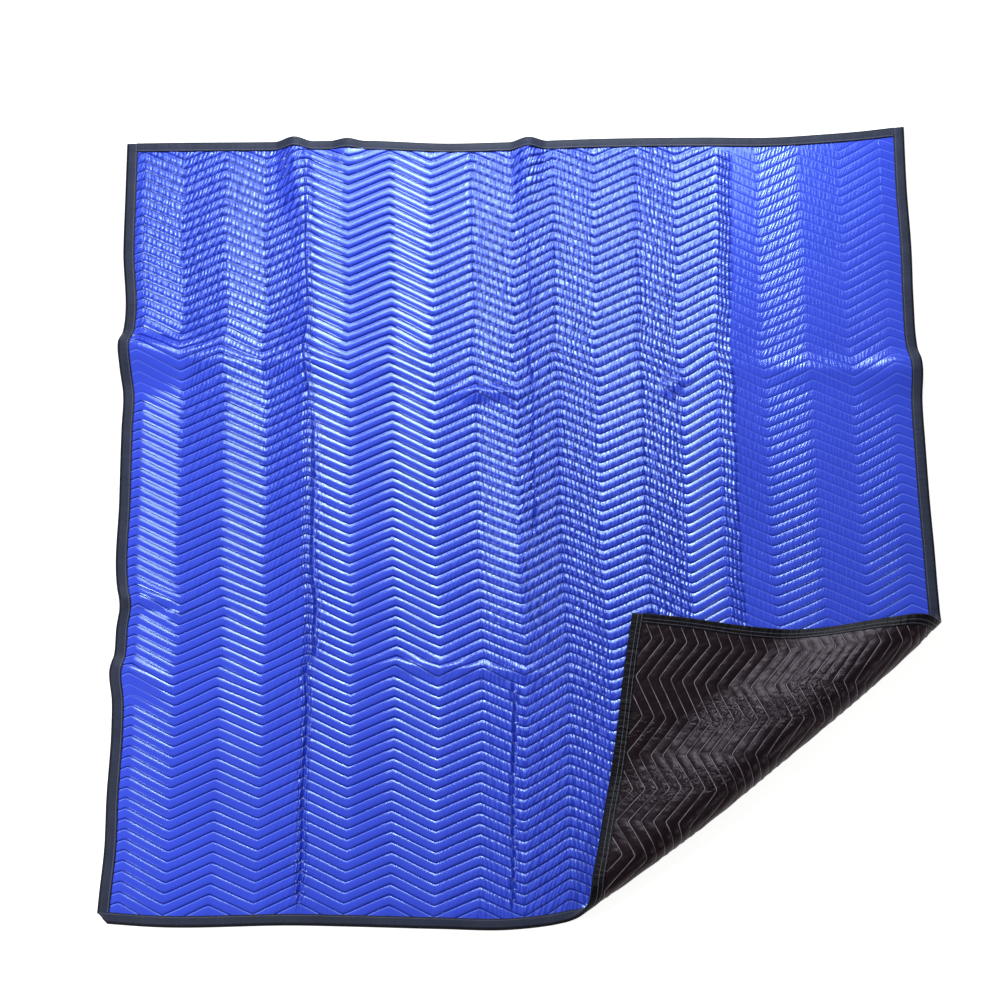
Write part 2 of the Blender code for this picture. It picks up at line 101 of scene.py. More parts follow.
# Radius of its roll, and how far inside the line it starts, at places along the line
ROLL_RADIUS = (
    (-0.100, 0.019), (0.000, 0.020), (0.150, 0.025), (0.330, 0.031), (0.600, 0.033),
    (0.840, 0.033), (0.980, 0.032), (1.083, 0.028), (1.150, 0.027),
)
ROLL_INSET = (
    (-0.100, 0.018), (0.000, 0.015), (0.150, 0.008), (0.330, 0.003), (0.600, 0.004),
    (0.840, 0.007), (0.980, 0.013), (1.083, 0.020), (1.150, 0.022),
)

# Ridges: middle x, middle y, heading in degrees, half length, half widths on the left and on the
# right of that heading, height
RIDGES = (
    (-0.927, 0.421, -5, 0.310, 0.050, 0.110, 0.025),
    (0.916, 0.380, 3, 0.180, 0.045, 0.100, 0.018),
    (-0.900, -0.232, -2, 0.230, 0.050, 0.022, 0.009),
    (-0.914, -0.399, -20, 0.190, 0.045, 0.070, 0.014),
    (-0.530, 0.998, -86, 0.310, 0.045, 0.045, 0.022),
    (-0.405, 1.000, -90, 0.160, 0.040, 0.040, 0.012),
    (0.016, 0.998, -92, 0.290, 0.045, 0.045, 0.020),
    (-0.160, -0.405, -4, 0.300, 0.022, 0.022, 0.006),
    (-0.080, 0.300, 0, 0.150, 0.025, 0.025, 0.007),
    (0.345, 0.325, 35, 0.060, 0.030, 0.030, 0.006),
    (-0.740, -0.262, 22, 0.070, 0.020, 0.009, 0.005),
)
# Creases where the cloth was folded away, sharp along the crest, in the same terms
CREASES = (
    (-0.478, -0.150, 90, 0.640, 0.096, 0.060, 0.008),
    (-0.490, 0.560, 89, 0.500, 0.050, 0.030, 0.007),
    (0.003, -0.127, 90, 0.420, 0.096, 0.096, 0.009),
    (0.474, 0.231, 90, 0.560, 0.096, 0.096, 0.009),
    (-0.600, 0.385, -1, 0.450, 0.050, 0.050, 0.005),
    (0.700, 0.360, -2, 0.320, 0.060, 0.060, 0.006),
)

# How puckered the face is in each run between two turns of the zigzag, the first one before the
# first turn, at these shares of the cloth's height
PUCKER_HEIGHTS = (0.02, 0.15, 0.28, 0.41, 0.54, 0.67, 0.80, 0.93)
RUN_PUCKERS = (
    (0.00, 0.00, 0.00, 0.00, 0.00, 0.10, 0.40, 0.50),
    (0.00, 0.00, 0.00, 0.00, 0.00, 0.10, 0.50, 0.65),
    (0.00, 0.00, 0.00, 0.10, 0.20, 0.40, 0.85, 0.90),
    (0.00, 0.00, 0.00, 0.05, 0.05, 0.30, 0.65, 0.80),
    (0.10, 0.10, 0.10, 0.20, 0.45, 0.65, 0.90, 0.80),
    (0.05, 0.05, 0.05, 0.05, 0.05, 0.05, 0.05, 0.15),
    (0.00, 0.00, 0.00, 0.00, 0.00, 0.05, 0.00, 0.05),
    (0.00, 0.05, 0.10, 0.05, 0.00, 0.05, 0.05, 0.10),
    (0.10, 0.10, 0.15, 0.20, 0.30, 0.35, 0.30, 0.20),
    (0.30, 0.30, 0.35, 0.45, 0.65, 0.70, 1.00, 0.90),
    (0.50, 0.50, 0.60, 0.80, 1.00, 1.00, 1.00, 1.00),
    (0.50, 0.60, 0.75, 0.85, 1.00, 1.00, 1.00, 1.00),
    (0.40, 0.40, 0.40, 0.45, 0.40, 0.65, 0.80, 0.70),
    (0.50, 0.50, 0.70, 1.00, 1.00, 1.00, 1.00, 0.90),
    (0.10, 0.10, 0.10, 0.10, 0.15, 0.40, 0.60, 0.55),
    (0.30, 0.30, 0.50, 0.70, 0.75, 0.60, 0.30, 0.12),
    (0.20, 0.20, 0.20, 0.20, 0.35, 0.45, 0.55, 0.50),
    (0.30, 0.30, 0.30, 0.60, 0.55, 0.40, 0.30, 0.25),
    (0.10, 0.10, 0.10, 0.15, 0.30, 0.20, 0.12, 0.15),
    (0.00, 0.00, 0.00, 0.10, 0.10, 0.10, 0.15, 0.20),
)

# Share of a run over which its values pass into the next run's
RUN_BLEND = 0.12

# How full the rows stand in each of those runs, up to the first of these shares of the cloth's
# height and from the second one on
FULLNESS_HEIGHTS = (0.45, 0.75)
RUN_FULLNESS = ((1.0, 1.0),) * 14 + (
    (0.95, 0.88), (0.50, 0.25), (0.78, 0.42), (0.45, 0.20), (0.66, 0.40), (0.50, 0.35),
)

# Sharp troughs that run up the cloth, with puckers beside them: u, lowest and highest v, half
# width of the puckers
TROUGHS = (
    (0.4240, 0.02, 0.66, 0.018),
    (0.4370, 0.62, 1.30, 0.022),
    (0.4200, 1.30, 2.00, 0.020),
    (0.8800, 0.02, 0.62, 0.014),
    (0.9400, 0.95, 1.80, 0.014),
)
# Columns of points across a trough, as distances from its bottom line, out to its sides
TROUGH_SPREAD = (-6 * MM, -3 * MM, 0, 3 * MM, 6 * MM)
# Length over which troughs fade in at their ends, as pleats do
END_FADE = 50 * MM

# Bands of fine pleats that run up the cloth: lowest and highest u, lowest and highest v, width of
# each pleat
PLEATS = (
    (1.384, 1.424, 0.60, 2.02, 8 * MM),
    (0.409, 0.441, 0.04, 2.00, 6 * MM),
)
# Length over which a band fades in on the left and on the right, how its pleats wander as
# (distance, radians in a metre), and the columns of points in a pleat
PLEAT_FADE = (3 * MM, 9 * MM)
PLEAT_WANDER = ((1.5 * MM, 31), (1 * MM, 83))
PLEAT_COLUMNS = 3
# How the cloth is drawn to the left: u, half widths to the left and right of it, distance. The full
# distance holds between the middle two of the heights, and it fades to nothing at the outer two
DRAWN_ASIDE = ((1.385, 0.12, 0.20, 20 * MM), (1.100, 0.40, 0.40, 7 * MM))
DRAWN_HEIGHTS = (0.35, 0.70, 1.36, 1.98)

# Places where the cloth is drawn smooth: x, y, half width, half height, share
SMOOTHED = (
    (-0.870, 0.350, 0.130, 0.080, 1.0),
    (0.860, 0.310, 0.120, 0.060, 0.6),
    (-0.860, -0.455, 0.080, 0.050, 0.8),
)

# Places where the folded corner is crumpled: x, y, half width, half height, share
CRUMPLED = (
    (0.530, -0.530, 0.190, 0.060, 1.0),
    (0.640, -0.480, 0.080, 0.060, 0.8),
    (0.310, -0.700, 0.180, 0.055, 1.0),
    (0.250, -0.560, 0.100, 0.050, 0.4),
)

# Columns of points of each cloth in a run, where it is smooth and where it is fully puckered
FACE_COLUMNS = (5, 13)
BACK_COLUMNS = (11, 13)
# How far in each cloth is cut, inside its tape
CUT_INSET = 4 * MM
# Distance from the cut edges at which each cloth starts to rise from under its tapes, and the
# length over which it does
FACE_EDGE = (18 * MM, 30 * MM)
BACK_EDGE = (20 * MM, 20 * MM)

# Height of the face along its stitching, and how much higher it is inside the fold
SEAM_LOFT = 0.4 * MM
SEAM_RISE = 1.0 * MM
# Height of its rows above that: standing full, lying flat, and how much lower they are near the fold
ROW_PUFF = 4.8 * MM
FLAT_PUFF = 2.6 * MM
CORNER_SINKING = 1.2 * MM
# What unevenness, gathers and puckers add to it, the width of a gather, and how far, in radians,
# the gathers of one row are out of step with the next row's
UNEVENNESS = 0.5 * MM
GATHERING = 0.9 * MM
PUCKER_PUFF = 2.4 * MM
GATHER_WIDTH = 19 * MM
GATHER_SCATTER = 6.28
# Share that pleats add to and take from it, share that troughs take from it, and share that is
# left along the cut edges
PLEAT_DEPTH = 0.20
TROUGH_SHARE = 0.85
EDGE_SHARE = 0.35
# Height of the face where it is drawn smooth, and inside the fold, with the distance past the start
# of the roll at which that begins and the length over which it does
SMOOTH_LOFT = 3.0 * MM
INSIDE_LOFT = 1.6 * MM
INSIDE_FROM = 4 * MM
INSIDE_FADE = 30 * MM

# Heights of the back: how far its seams dip, its height under the tapes, and its crumples
BACK_DIP = 2.2 * MM
BACK_EDGE_LOFT = 2.2 * MM
CRUMPLE_HEIGHT = 1.3 * MM
# Length past the start of the roll over which the dips and the crumples set in
DIP_FADE = 25 * MM
CRUMPLE_FADE = 40 * MM

# Sewing thread: how far in it starts, its steps, and its section across and up
STITCH_MARGIN = 26 * MM
STITCH_STEP = 8 * MM
THREAD_SECTION = ((-0.65 * MM, 0.0), (0.0, 0.6 * MM), (0.65 * MM, 0.0))

# Step by which slopes of the middle surface are worked out
FINE_STEP = 0.5 * MM

# ---------------------------------------------------------------- the surface


def read_table(table, where):
    """Smooth values read from a table of (place, value) rows, level past its ends."""
    places, values = np.array(table).T
    slopes = np.gradient(values, places)
    row = np.clip(np.searchsorted(places, where) - 1, 0, len(places) - 2)
    step = places[row + 1] - places[row]
    f = np.clip((where - places[row]) / step, 0, 1)
    rise = f * (1 - f) ** 2 * slopes[row] - f**2 * (1 - f) * slopes[row + 1]
    return values[row] * (1 + 2 * f) * (1 - f) ** 2 + values[row + 1] * f**2 * (3 - 2 * f) + rise * step


def hump(share):
    """1 in the middle and 0 from share 1 on, with a smooth foot and crest."""
    share = np.clip(abs(share), 0, 1)
    return (1 - share) ** 2 * (1 + 2 * share)


def crest(share):
    """1 in the middle, where it is sharp, and 0 from share 1 on."""
    return (1 - np.clip(abs(share), 0, 1)) ** 1.6


def ease(share):
    """0 up to share 0 and 1 from share 1 on, smooth between."""
    share = np.clip(share, 0, 1)
    return share**2 * (3 - 2 * share)


def within(place, low, high, low_fade, high_fade):
    """0 beyond low and high, and 1 between them from the end of each one's fade on."""
    return ease((place - low) / low_fade) * ease((high - place) / high_fade)


def cut_corner(u, v):
    """Draws the lower left corner in, so that its outline runs straight across it."""
    near_side = np.clip(1 - np.maximum(u, 0) / CORNER_CUT, 0, 1)
    near_end = np.clip(1 - np.maximum(v, 0) / CORNER_CUT, 0, 1)
    shift = CORNER_CUT / 2 * near_side * near_end
    return u + shift, v + shift


def spread(u, v):
    """Place on the floor of each point of the cloth, with the corner not yet folded."""
    a = u / WIDTH
    b = v / HEIGHT
    left_y = LEFT_EDGE[0][0] * (1 - b) + LEFT_EDGE[-1][0] * b
    right_y = RIGHT_EDGE[0][0] * (1 - b) + RIGHT_EDGE[-1][0] * b
    bottom_x = BOTTOM_EDGE[0][0] * (1 - a) + BOTTOM_EDGE[-1][0] * a
    top_x = TOP_EDGE[0][0] * (1 - a) + TOP_EDGE[-1][0] * a
    x = (1 - a) * read_table(LEFT_EDGE, left_y) + a * read_table(RIGHT_EDGE, right_y)
    y = (1 - b) * read_table(BOTTOM_EDGE, bottom_x) + b * read_table(TOP_EDGE, top_x)
    none_below, full_from, full_to, none_above = DRAWN_HEIGHTS
    drawn = within(v, none_below, none_above, full_from - none_below, none_above - full_to)
    for place, half_left, half_right, distance in DRAWN_ASIDE:
        half = np.where(u < place, half_left, half_right)
        x = x - distance * hump((u - place) / half) * drawn
    return x, y


def fold_place(x, y):
    """Distances along the fold, and past the line where its roll starts."""
    along = (FOLD_END - FOLD_START).normalized()
    dx = x - FOLD_START.x
    dy = y - FOLD_START.y
    t = dx * along.x + dy * along.y
    return t, dx * along.y - dy * along.x + read_table(ROLL_INSET, t)


def fold_over(x, y):
    """Rolls the corner over the fold: half a turn, then down to rest on the layer below."""
    t, past_fold = fold_place(x, y)
    radius = read_table(ROLL_RADIUS, t)
    turn = np.clip(past_fold / radius, 0, math.pi)
    past_roll = np.maximum(past_fold - math.pi * radius, 0)
    length = FOLD_FALL + FOLD_FALL_SHARE * radius
    drop = 2 * radius - FOLD_REST
    fallen = np.clip(past_roll / length, 0, 1)
    falling_reach = length - FALL_SHORTENING * drop**2 / length
    reach = np.minimum(past_fold, 0) + radius * np.sin(turn) - falling_reach * fallen
    reach = reach - np.maximum(past_roll - length, 0) - read_table(ROLL_INSET, t)
    rise = radius * (1 - np.cos(turn)) - drop * ease(fallen)
    along = (FOLD_END - FOLD_START).normalized()
    folded_x = FOLD_START.x + t * along.x + reach * along.y
    folded_y = FOLD_START.y + t * along.y - reach * along.x
    return folded_x, folded_y, rise


def ridge_rise(x, y):
    """Height of the ridges and creases."""
    rise = np.zeros_like(x)
    for kind, profile in ((RIDGES, hump), (CREASES, crest)):
        for middle_x, middle_y, heading, half_length, left, right, height in kind:
            heading = math.radians(heading)
            dx = x - middle_x
            dy = y - middle_y
            along = dx * math.cos(heading) + dy * math.sin(heading)
            across = dy * math.cos(heading) - dx * math.sin(heading)
            across = across / np.where(across > 0, left, right)
            rise = rise + height * hump(along / half_length) * profile(across)
    return rise


def middle(u, v):
    """Places of the middle surface, one row for each point."""
    x, y = spread(*cut_corner(u, v))
    folded_x, folded_y, rise = fold_over(x, y)
    z = BACK_LOFT + rise + ridge_rise(x, y)
    return np.stack([folded_x - EXTENT_MIDDLE[0], folded_y - EXTENT_MIDDLE[1], z], axis=1)


def lay(u, v, loft):
    """Places at a height above the middle surface, on the face side where loft is positive."""
    du = middle(u + FINE_STEP, v) - middle(u - FINE_STEP, v)
    dv = middle(u, v + FINE_STEP) - middle(u, v - FINE_STEP)
    normal = np.cross(du, dv)
    normal = normal / np.linalg.norm(normal, axis=1)[:, None]
    return middle(u, v) + normal * np.asarray(loft).reshape(-1, 1)


# ---------------------------------------------------------------- quilting


def zigzag(u):
    """How far the stitching runs above its row's lowest points."""
    turn = np.arccos(ZIGZAG_SHARPNESS * np.cos(math.pi * (u - FIRST_PEAK) / ZIGZAG_RUN))
    return ZIGZAG_HEIGHT * (1 - turn / math.pi)


def off_edge(u, v, start, fade):
    """0 up to a distance in from the cut edges, and 1 from the end of its fade on."""
    distance = np.minimum(np.minimum(u, WIDTH - u), np.minimum(v, HEIGHT - v))
    return ease((distance - start) / fade)


def ripple(*waves):
    """A smooth uneven value from -1 to 1, from the phases of some waves."""
    return sum(np.sin(wave) for wave in waves) / len(waves)


def by_run(u, values):
    """A value at each point, given the values of all points in every run of the zigzag."""
    run = np.clip((u - FIRST_PEAK) / ZIGZAG_RUN + 1, 0, len(values) - 1)
    number = np.floor(run).astype(int)
    beyond = np.minimum(number + 1, len(values) - 1)
    place = np.arange(len(number))
    share = ease((run % 1 - (1 - RUN_BLEND)) / RUN_BLEND)
    return values[number, place] * (1 - share) + values[beyond, place] * share


def fullness(u, v):
    """How full the rows stand, from 0 to 1."""
    height = v / HEIGHT
    return by_run(u, np.array([np.interp(height, FULLNESS_HEIGHTS, pair) for pair in RUN_FULLNESS]))


def puckering(u, v):
    """How puckered the face is, from 0 to 1."""
    height = v / HEIGHT
    strength = by_run(u, np.array([np.interp(height, PUCKER_HEIGHTS, row) for row in RUN_PUCKERS]))
    for trough, low, high, half_width in TROUGHS:
        along = within(v, low, high, END_FADE, END_FADE)
        strength = np.maximum(strength, along * hump((u - trough) / half_width) ** 0.4)
    return strength


def trough_depth(u, v):
    """1 along the bottom of a trough and 0 beyond its sides."""
    depth = np.zeros_like(u)
    for trough, low, high, _ in TROUGHS:
        along = within(v, low, high, END_FADE, END_FADE)
        depth = np.maximum(depth, along * hump((u - trough) / TROUGH_SPREAD[-1]))
    return depth


def pleating(u, v):
    """How deep the pleats are, from 0 to 1, and their wave: 1 along each and -1 between them."""
    depth = np.zeros_like(u)
    wave = np.zeros_like(u)
    for left, right, low, high, width in PLEATS:
        across = within(u, left, right, *PLEAT_FADE)
        along = within(v, low, high, END_FADE, END_FADE)
        wandered = sum(distance * np.sin(v * rate) for distance, rate in PLEAT_WANDER)
        side = (u - left + wandered) / width - 0.5
        wave = np.where(across > 0, np.cos(2 * math.pi * side), wave)
        depth = np.maximum(depth, across * along)
    return depth, wave


def quilt_columns(coarse, fine):
    """Places of a grid's columns, given their count in a smooth run and in a fully puckered one."""
    columns = [trough + step for trough, *_ in TROUGHS for step in TROUGH_SPREAD]
    for left, right, _, _, width in PLEATS:
        columns.extend(np.arange(left, right, width / PLEAT_COLUMNS))
    for turn, strengths in enumerate(RUN_PUCKERS):
        start = FIRST_PEAK + (turn - 1) * ZIGZAG_RUN
        count = coarse + round((fine - coarse) * max(strengths))
        columns.extend(start + np.arange(count) * ZIGZAG_RUN / count)
    return np.array(columns)


def quilt_grid(columns, fractions, inset):
    """The cloth as columns across it and rows that follow the stitching: u, v, row and faces."""
    columns = np.unique(np.clip(columns, inset, WIDTH - inset))
    low_row = -math.ceil(ZIGZAG_HEIGHT / ROW_PITCH)
    rows = [row + f for row in range(low_row, math.ceil(HEIGHT / ROW_PITCH)) for f in fractions]
    rows = np.array(rows + [math.ceil(HEIGHT / ROW_PITCH)])
    u, row = np.meshgrid(columns, rows)
    v = np.clip(row * ROW_PITCH + zigzag(u), inset, HEIGHT - inset)
    number = np.arange(u.size).reshape(u.shape)
    # Points of one column that lie together at an edge are one point
    for k in range(1, len(rows)):
        same = v[k] == v[k - 1]
        number[k, same] = number[k - 1, same]
    faces = []
    for k in range(len(rows) - 1):
        a, b = number[k, :-1], number[k, 1:]
        c, d = number[k + 1, 1:], number[k + 1, :-1]
        for corners in zip(a.tolist(), b.tolist(), c.tolist(), d.tolist()):
            face = list(dict.fromkeys(corners))
            if len(face) > 2:
                faces.append(face)
    return u.ravel(), v.ravel(), row.ravel(), faces


def broad_normals(places, mesh):
    """A normal for each point, led by the widest of its faces, so that flat stretches look flat."""
    normals = np.zeros_like(places)
    areas = np.array([polygon.normal * polygon.area for polygon in mesh.polygons])
    corner_counts = [len(polygon.vertices) for polygon in mesh.polygons]
    corner_faces = np.repeat(np.arange(len(areas)), corner_counts)
    corner = np.empty(len(mesh.loops), dtype=np.int32)
    mesh.loops.foreach_get("vertex_index", corner)
    np.add.at(normals, corner, areas[corner_faces])
    return normals / np.linalg.norm(normals, axis=1)[:, None]


def soft_mesh(name, places, faces, uv, marks=()):
    """A smooth mesh with its cloth coordinates as a UV map, and unused points left out.

    marks are named values of its points.
    """
    used = np.zeros(len(places), bool)
    used[np.concatenate([np.array(face) for face in faces])] = True
    renumber = np.cumsum(used) - 1
    mesh = bpy.data.meshes.new(name)
    mesh.from_pydata(places[used].tolist(), [], [[int(renumber[k]) for k in face] for face in faces])
    mesh.polygons.foreach_set("use_smooth", [True] * len(mesh.polygons))
    corner = np.empty(len(mesh.loops), dtype=np.int32)
    mesh.loops.foreach_get("vertex_index", corner)
    layer = mesh.uv_layers.new(name="cloth")
    layer.data.foreach_set("uv", uv[used][corner].astype(np.float32).ravel())
    for mark, values in dict(marks).items():
        attribute = mesh.attributes.new(mark, "FLOAT", "POINT")
        attribute.data.foreach_set("value", values[used].astype(np.float32))
    mesh.update()
    mesh.normals_split_custom_set_from_vertices(broad_normals(places[used], mesh))
    obj = bpy.data.objects.new(name, mesh)
    bpy.context.scene.collection.objects.link(obj)
    return obj


def patches(table, x, y):
    """The strongest of some soft-edged patches at each place on the floor."""
    total = np.zeros_like(x)
    for middle_x, middle_y, half_x, half_y, strength in table:
        patch = hump((x - middle_x) / half_x) ** 0.5 * hump((y - middle_y) / half_y) ** 0.5
        total = np.maximum(total, strength * patch)
    return total


def scatter(number):
    """An even spread of values from 0 to 1 that looks random, one for each number."""
    return np.sin(number * 12.9898) * 43758.5453 % 1


# Section of one puffed row, from its lower seam: place, height where flat and where puckered
PUFF_SECTION = (
    (0.00, 0.00, 0.00), (0.08, 0.78, 0.60), (0.24, 1.00, 1.00),
    (0.54, 1.00, 0.66), (0.91, 0.60, 0.26),
)


def inside_fold(past_fold):
    """1 inside the fold, eased from 0 past the line where its roll starts."""
    return ease((past_fold - INSIDE_FROM) / INSIDE_FADE)


def seam_loft(u, v):
    """Height of the face along a line of stitching, above the middle surface."""
    past_fold = fold_place(*spread(u, v))[1]
    return SEAM_LOFT + SEAM_RISE * inside_fold(past_fold)


def row_section(share, strength):
    """Height of a row, as a share of its full height, at a share of the way up it."""
    places, flat, puckered = np.array(PUFF_SECTION + ((1.0, 0.0, 0.0),)).T
    flat = np.interp(share, places, flat)
    puckered = np.interp(share, places, puckered)
    roundness = np.clip(0.10 + strength, 0, 1)
    return flat * (1 - roundness) + puckered * roundness


def row_height(u, v, number, past_fold, strength):
    """Full height of the row that a point is in, uneven and gathered along it."""
    uneven = ripple(u * 61 + number * 2.4, u * 23 + number * 1.1, v * 5 + u * 9)
    phase = GATHER_SCATTER * scatter(number) + 2.2 * np.sin(u * 41 + number * 2.9)
    gathers = np.sin(2 * math.pi * u / GATHER_WIDTH + phase) * strength
    full = ROW_PUFF - CORNER_SINKING * ease((past_fold + 0.12) / 0.10)
    full = full + UNEVENNESS * uneven + GATHERING * gathers
    # Puckered rows stand taller down the cloth, and smooth rows lie lower near its bottom
    full = full + PUCKER_PUFF * strength * (1 - v / HEIGHT)
    lowering = (0.09 + 0.06 * ease((0.6 - u) / 0.3)) * ease((0.75 - v) / 0.6)
    return full * (1 - (1 - strength) * lowering)


def make_face():
    """The face cloth, with its puffed rows, gathers, troughs and pleats."""
    fractions = [place for place, _, _ in PUFF_SECTION]
    u, v, row, faces = quilt_grid(quilt_columns(*FACE_COLUMNS), fractions, CUT_INSET)
    x, y = spread(u, v)
    past_fold = fold_place(x, y)[1]
    strength = puckering(u, v)
    puff = row_section(row % 1, strength)
    full = row_height(u, v, np.floor(row), past_fold, strength)
    smooth = patches(SMOOTHED, x, y)
    pleat, wave = pleating(u, v)
    stand = np.maximum(fullness(u, v), pleat)
    full = full * (1 + PLEAT_DEPTH * pleat * wave)
    full = FLAT_PUFF * (1 - stand) + full * stand
    puff = 1 - stand + puff * stand
    loft = SEAM_LOFT + full * puff * (1 - TROUGH_SHARE * trough_depth(u, v))
    loft = loft * (1 - smooth) + SMOOTH_LOFT * smooth
    strength = strength * (1 - smooth)
    # The rows lie lower beside the tapes, and lower still inside the fold
    loft = loft * (EDGE_SHARE + (1 - EDGE_SHARE) * off_edge(u, v, *FACE_EDGE))
    inside = inside_fold(past_fold)
    loft = loft * (1 - inside) + INSIDE_LOFT * inside
    # Painted shade: the trough mark darkens the face's colour along the troughs and between the pleats
    pleat_gap_shade = pleat * (0.5 - 0.5 * wave) ** 2
    marks = {
        "pucker": strength * (1 - pleat),
        "fullness": stand * (1 - smooth),
        "trough": np.maximum(trough_depth(u, v) ** 2, pleat_gap_shade),
    }
    return soft_mesh("face_cloth", lay(u, v, loft), faces, np.stack([u, v], axis=1), marks)


def make_stitching():
    """A raised line of thread along every line of stitching of the face."""
    first = -math.ceil(ZIGZAG_HEIGHT / ROW_PITCH)
    columns = np.arange(STITCH_MARGIN, WIDTH - STITCH_MARGIN, STITCH_STEP)
    turns = FIRST_PEAK + ZIGZAG_RUN * np.arange(math.ceil(WIDTH / ZIGZAG_RUN))
    columns = np.unique(np.concatenate([columns, turns[turns < WIDTH - STITCH_MARGIN]]))
    places, uv, faces = [], [], []
    count = 0
    for row in range(first, math.ceil(HEIGHT / ROW_PITCH) + 1):
        v = row * ROW_PITCH + zigzag(columns)
        kept = (v > STITCH_MARGIN) & (v < HEIGHT - STITCH_MARGIN)
        for part in np.split(np.arange(len(columns)), np.flatnonzero(np.diff(kept)) + 1):
            if len(part) < 2 or not kept[part[0]]:
                continue
            for across, up in THREAD_SECTION:
                line_v = v[part] + across
                places.append(lay(columns[part], line_v, seam_loft(columns[part], line_v) + up))
                uv.append(np.stack([columns[part], line_v], axis=1))
            size = len(part)
            for lane in (0, 1):
                for k in range(size - 1):
                    a = count + lane * size + k
                    faces.append([a, a + 1, a + size + 1, a + size])
            count += 3 * size
    return soft_mesh("stitching", np.concatenate(places), faces, np.concatenate(uv))


def make_back():
    """The back cloth, which faces the other way."""
    u, v, row, faces = quilt_grid(quilt_columns(*BACK_COLUMNS), (0, 0.14, 0.5, 0.86), CUT_INSET)
    x, y = spread(u, v)
    past_fold = fold_place(x, y)[1]
    # The rows stand out only where the back shows, and the cloth is flat under the tapes
    puff = np.sin(math.pi * (row % 1)) ** 0.6
    quilted = BACK_LOFT - BACK_DIP * (1 - puff) * ease(past_fold / DIP_FADE)
    loft = BACK_EDGE_LOFT + (quilted - BACK_EDGE_LOFT) * off_edge(u, v, *BACK_EDGE)
    places = lay(u, v, -loft)
    crumple = patches(CRUMPLED, places[:, 0], places[:, 1]) * ease(past_fold / CRUMPLE_FADE)
    waves = ripple(x * 260 + y * 90, y * 330 - x * 120, x * 150 - y * 210)
    places = lay(u, v, -loft - CRUMPLE_HEIGHT * (waves - 0.5) * crumple)
    faces = [face[::-1] for face in faces]
    return soft_mesh("back_cloth", places, faces, np.stack([u, v], axis=1), {"crumple": crumple})


# A tape's section in millimetres: distance in from the cut edge and height, from its inner edge
# on the face, round the cut edge, to its inner edge on the back
TAPE_FRONT = (
    (25.0, 1.0), (24.8, 2.7), (24.2, 3.5), (22.5, 3.7), (20.5, 3.3), (18.5, 3.7), (15.0, 3.9),
    (10.0, 4.0), (5.0, 4.0), (2.0, 3.8), (0.3, 3.1), (-0.9, 1.9), (-1.5, 0.6),
)
TAPE_BACK = (
    (-1.5, -0.8), (-0.9, -2.1), (0.3, -2.9), (2.0, -3.2), (5.0, -3.3), (10.0, -3.3), (15.0, -3.3),
    (18.5, -3.2), (20.5, -2.9), (22.5, -3.2), (24.2, -3.1), (24.8, -2.5), (25.0, -1.4),
)
TAPE_STEP = 3 * MM
# A drawn end closes over this length, to this share of the tape's height
TAPE_CLOSING = 5 * MM
TAPE_CLOSED = 0.12
# Height of the tape's waves, and the height from which the section takes part in them
TAPE_WAVES = 0.5 * MM
TAPE_WAVES_FROM = 2 * MM


def make_tape(name, side, start, end, closed_ends):
    """A tape folded round one edge, from start to end along it.

    side is the edge, counted anticlockwise from the bottom. closed_ends says whether the tape's
    first and last ends are drawn shut.
    """
    section = np.array(TAPE_FRONT + TAPE_BACK) * MM
    steps = round((end - start) / TAPE_STEP)
    stations = np.linspace(start, end, steps + 1)
    along, number = np.meshgrid(stations, np.arange(len(section)), indexing="ij")
    inward = section[number, 0]
    loft = section[number, 1]
    shut = np.ones_like(along)
    for is_closed, from_end in ((closed_ends[0], along - start), (closed_ends[1], end - along)):
        if is_closed:
            still_open = 1 - np.clip(from_end / TAPE_CLOSING, 0, 1)
            shut = shut * np.sqrt(1 - still_open**2)
    loft = loft * (TAPE_CLOSED + (1 - TAPE_CLOSED) * shut)
    wave = ripple(along * 71 + side, along * 137 + 2 * side, along * 31)
    loft = loft + np.where(loft > TAPE_WAVES_FROM, TAPE_WAVES * wave, 0)
    u, v = ((along, inward), (WIDTH - inward, along), (along, HEIGHT - inward), (inward, along))[side]
    places = lay(u.ravel(), v.ravel(), loft.ravel())
    count = len(section)
    faces = []
    for k in range(steps):
        for m in range(count - 1):
            a = k * count + m
            face = [a, a + 1, a + count + 1, a + count]
            faces.append(face if side in (1, 2) else face[::-1])
    # The back of the tape has its distances negative, so that a material can tell it from the front
    across = np.where(number < len(TAPE_FRONT), inward, -inward)
    return soft_mesh(name, places, faces, np.stack([along.ravel(), across.ravel()], axis=1))


# ---------------------------------------------------------------- materials


